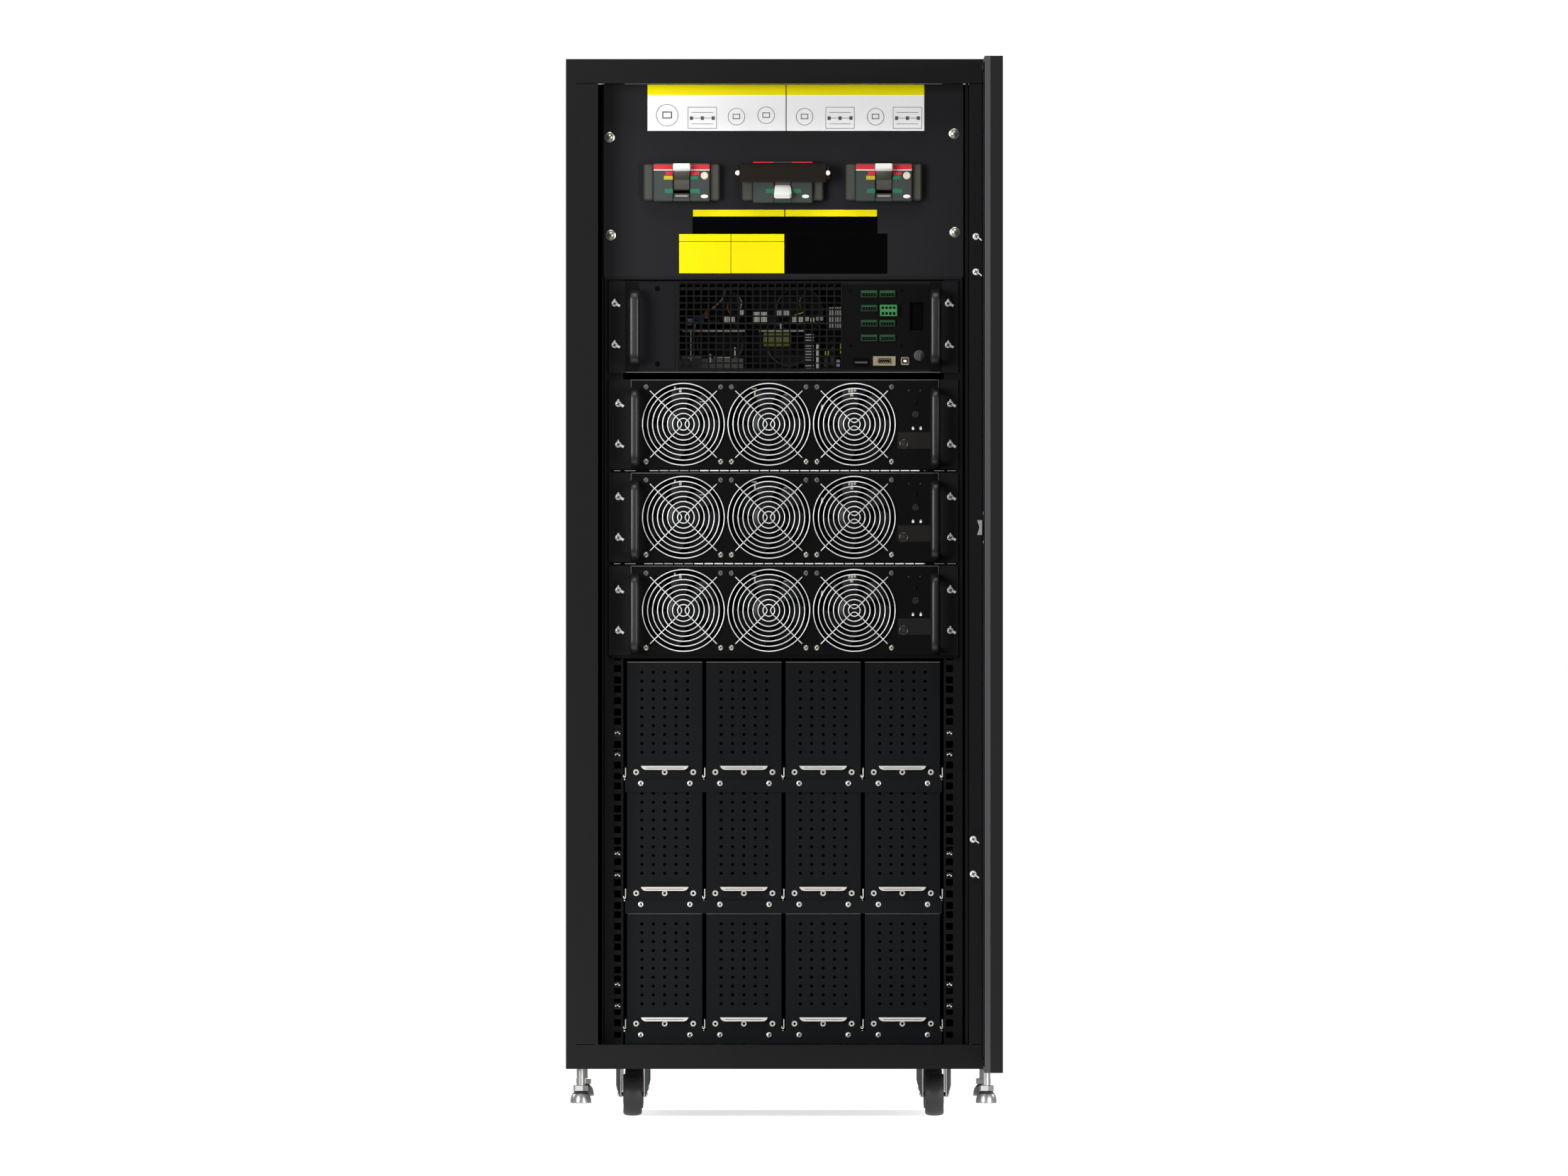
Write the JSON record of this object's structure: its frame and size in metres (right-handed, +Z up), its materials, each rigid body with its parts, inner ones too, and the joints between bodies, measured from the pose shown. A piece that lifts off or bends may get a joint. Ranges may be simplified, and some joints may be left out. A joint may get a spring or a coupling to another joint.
{
  "type": "modular ups cabinet",
  "caption": "Free-standing modular UPS cabinet on castors, its front door open on plug-in power modules with fans, a bypass module, breakers and rows of battery packs.",
  "frame": {"origin": "on the floor under the middle of the carcass", "axes": "+Z up, the front faces -Y, +X to the right as the front is looked at"},
  "size_m": [0.6, 1.668, 1.458],
  "materials": {
    "cabinet_paint": "textured black powder coat",
    "panel_paint": "satin dark grey powder coat",
    "module_paint": "fine black powder coat",
    "door_paint": "textured black powder coat",
    "door_frame_paint": "textured dark grey powder coat",
    "breaker_case": "moulded grey-green thermoset",
    "toggle_plastic": "grey moulded plastic",
    "white_toggle_plastic": "white moulded plastic",
    "lock_bar_metal": "dark brown painted steel",
    "bright_steel": "bright chrome-plated wire",
    "zinc": "zinc-plated steel",
    "handle_paint": "dark grey powder coat",
    "fan_plastic": "black moulded plastic",
    "circuit_board": "boards and coils",
    "green_connector": "green moulded plastic",
    "castor_rubber": "black rubber tyre",
    "battery_case": "black powder coat"
  },
  "bodies": {
    "root": {"side_panels": "cabinet_paint", "front_header": "cabinet_paint", "front_sill": "cabinet_paint", "front_posts": "cabinet_paint", "top_cover": "cabinet_paint", "base_pan": "cabinet_paint", "rear_panel": "cabinet_paint", "rack_rails": "panel_paint", "rear_posts": "panel_paint", "module_shelves": "panel_paint", "battery_shelves": "panel_paint", "breaker_panel": "panel_paint", "breakers": "breaker_case", "bypass_toggle": "white_toggle_plastic", "bypass_lock_bar": "lock_bar_metal", "battery_packs": "battery_case", "battery_handles": "bright_steel", "door_hinges": "zinc", "castor_plates": "zinc", "levelling_feet": "zinc"},
    "front_door": {"door_shell": "door_paint", "door_inner_frame": "door_frame_paint", "door_lock": "zinc"},
    "toggle_main": {"toggle_main": "toggle_plastic"},
    "toggle_output": {"toggle_output": "toggle_plastic"},
    "bypass_module": {"bypass_module_housing": "module_paint", "bypass_module_face": "module_paint", "bypass_connector_plate": "module_paint", "bypass_module_grille": "module_paint", "bypass_module_boards": "circuit_board", "bypass_module_connectors": "green_connector", "bypass_module_handles": "handle_paint"},
    "power_module_1": {"power_module_1_housing": "module_paint", "power_module_1_guards": "bright_steel", "power_module_1_handles": "handle_paint"},
    "power_module_1_rotor_1": {"power_module_1_rotor_1": "fan_plastic"},
    "power_module_1_rotor_2": {"power_module_1_rotor_2": "fan_plastic"},
    "power_module_1_rotor_3": {"power_module_1_rotor_3": "fan_plastic"},
    "power_module_2": {"power_module_2_housing": "module_paint", "power_module_2_guards": "bright_steel", "power_module_2_handles": "handle_paint"},
    "power_module_2_rotor_1": {"power_module_2_rotor_1": "fan_plastic"},
    "power_module_2_rotor_2": {"power_module_2_rotor_2": "fan_plastic"},
    "power_module_2_rotor_3": {"power_module_2_rotor_3": "fan_plastic"},
    "power_module_3": {"power_module_3_housing": "module_paint", "power_module_3_guards": "bright_steel", "power_module_3_handles": "handle_paint"},
    "power_module_3_rotor_1": {"power_module_3_rotor_1": "fan_plastic"},
    "power_module_3_rotor_2": {"power_module_3_rotor_2": "fan_plastic"},
    "power_module_3_rotor_3": {"power_module_3_rotor_3": "fan_plastic"},
    "castor_fork_front_left": {"castor_fork_front_left": "zinc"},
    "castor_wheel_front_left": {"castor_wheel_front_left": "castor_rubber"},
    "castor_fork_front_right": {"castor_fork_front_right": "zinc"},
    "castor_wheel_front_right": {"castor_wheel_front_right": "castor_rubber"},
    "castor_fork_rear_left": {"castor_fork_rear_left": "zinc"},
    "castor_wheel_rear_left": {"castor_wheel_rear_left": "castor_rubber"},
    "castor_fork_rear_right": {"castor_fork_rear_right": "zinc"},
    "castor_wheel_rear_right": {"castor_wheel_rear_right": "castor_rubber"}
  },
  "joints": [
    {"name": "door_swing", "type": "hinge", "parent": "root", "child": "front_door", "pos_m": [0.2875, -0.5505, 0.8], "axis": [0, 0, -1], "range_deg": [-40, 90]},
    {"name": "toggle_main_throw", "type": "hinge", "parent": "root", "child": "toggle_main", "pos_m": [-0.1405, -0.4825, 1.2885], "axis": [1, 0, 0], "range_deg": [0, 70]},
    {"name": "toggle_output_throw", "type": "hinge", "parent": "root", "child": "toggle_output", "pos_m": [0.1385, -0.4825, 1.2885], "axis": [1, 0, 0], "range_deg": [0, 70]},
    {"name": "bypass_module_slide", "type": "slide", "parent": "root", "child": "bypass_module", "axis": [0, 1, 0], "range_m": [-0.5, 0]},
    {"name": "power_module_1_slide", "type": "slide", "parent": "root", "child": "power_module_1", "axis": [0, 1, 0], "range_m": [-0.5, 0]},
    {"name": "power_module_1_rotor_1_spin", "type": "hinge", "parent": "power_module_1", "child": "power_module_1_rotor_1", "pos_m": [-0.1381, -0.4513, 0.9547], "axis": [0, 1, 0], "continuous": true},
    {"name": "power_module_1_rotor_2_spin", "type": "hinge", "parent": "power_module_1", "child": "power_module_1_rotor_2", "pos_m": [-0.0202, -0.4513, 0.9547], "axis": [0, 1, 0], "continuous": true},
    {"name": "power_module_1_rotor_3_spin", "type": "hinge", "parent": "power_module_1", "child": "power_module_1_rotor_3", "pos_m": [0.0977, -0.4513, 0.9547], "axis": [0, 1, 0], "continuous": true},
    {"name": "power_module_2_slide", "type": "slide", "parent": "root", "child": "power_module_2", "axis": [0, 1, 0], "range_m": [-0.5, 0]},
    {"name": "power_module_2_rotor_1_spin", "type": "hinge", "parent": "power_module_2", "child": "power_module_2_rotor_1", "pos_m": [-0.1381, -0.4513, 0.8263], "axis": [0, 1, 0], "continuous": true},
    {"name": "power_module_2_rotor_2_spin", "type": "hinge", "parent": "power_module_2", "child": "power_module_2_rotor_2", "pos_m": [-0.0202, -0.4513, 0.8263], "axis": [0, 1, 0], "continuous": true},
    {"name": "power_module_2_rotor_3_spin", "type": "hinge", "parent": "power_module_2", "child": "power_module_2_rotor_3", "pos_m": [0.0977, -0.4513, 0.8263], "axis": [0, 1, 0], "continuous": true},
    {"name": "power_module_3_slide", "type": "slide", "parent": "root", "child": "power_module_3", "axis": [0, 1, 0], "range_m": [-0.5, 0]},
    {"name": "power_module_3_rotor_1_spin", "type": "hinge", "parent": "power_module_3", "child": "power_module_3_rotor_1", "pos_m": [-0.1381, -0.4513, 0.6979], "axis": [0, 1, 0], "continuous": true},
    {"name": "power_module_3_rotor_2_spin", "type": "hinge", "parent": "power_module_3", "child": "power_module_3_rotor_2", "pos_m": [-0.0202, -0.4513, 0.6979], "axis": [0, 1, 0], "continuous": true},
    {"name": "power_module_3_rotor_3_spin", "type": "hinge", "parent": "power_module_3", "child": "power_module_3_rotor_3", "pos_m": [0.0977, -0.4513, 0.6979], "axis": [0, 1, 0], "continuous": true},
    {"name": "castor_fork_front_left_swivel", "type": "hinge", "parent": "root", "child": "castor_fork_front_left", "pos_m": [-0.2084, -0.41, 0.069], "axis": [0, 0, 1], "continuous": true},
    {"name": "castor_wheel_front_left_spin", "type": "hinge", "parent": "castor_fork_front_left", "child": "castor_wheel_front_left", "pos_m": [-0.2084, -0.39, 0.0298], "axis": [1, 0, 0], "continuous": true},
    {"name": "castor_fork_front_right_swivel", "type": "hinge", "parent": "root", "child": "castor_fork_front_right", "pos_m": [0.2084, -0.41, 0.069], "axis": [0, 0, 1], "continuous": true},
    {"name": "castor_wheel_front_right_spin", "type": "hinge", "parent": "castor_fork_front_right", "child": "castor_wheel_front_right", "pos_m": [0.2084, -0.39, 0.0298], "axis": [1, 0, 0], "continuous": true},
    {"name": "castor_fork_rear_left_swivel", "type": "hinge", "parent": "root", "child": "castor_fork_rear_left", "pos_m": [-0.2084, 0.41, 0.069], "axis": [0, 0, 1], "continuous": true},
    {"name": "castor_wheel_rear_left_spin", "type": "hinge", "parent": "castor_fork_rear_left", "child": "castor_wheel_rear_left", "pos_m": [-0.2084, 0.43, 0.0298], "axis": [1, 0, 0], "continuous": true},
    {"name": "castor_fork_rear_right_swivel", "type": "hinge", "parent": "root", "child": "castor_fork_rear_right", "pos_m": [0.2084, 0.41, 0.069], "axis": [0, 0, 1], "continuous": true},
    {"name": "castor_wheel_rear_right_spin", "type": "hinge", "parent": "castor_fork_rear_right", "child": "castor_wheel_rear_right", "pos_m": [0.2084, 0.43, 0.0298], "axis": [1, 0, 0], "continuous": true}
  ]
}
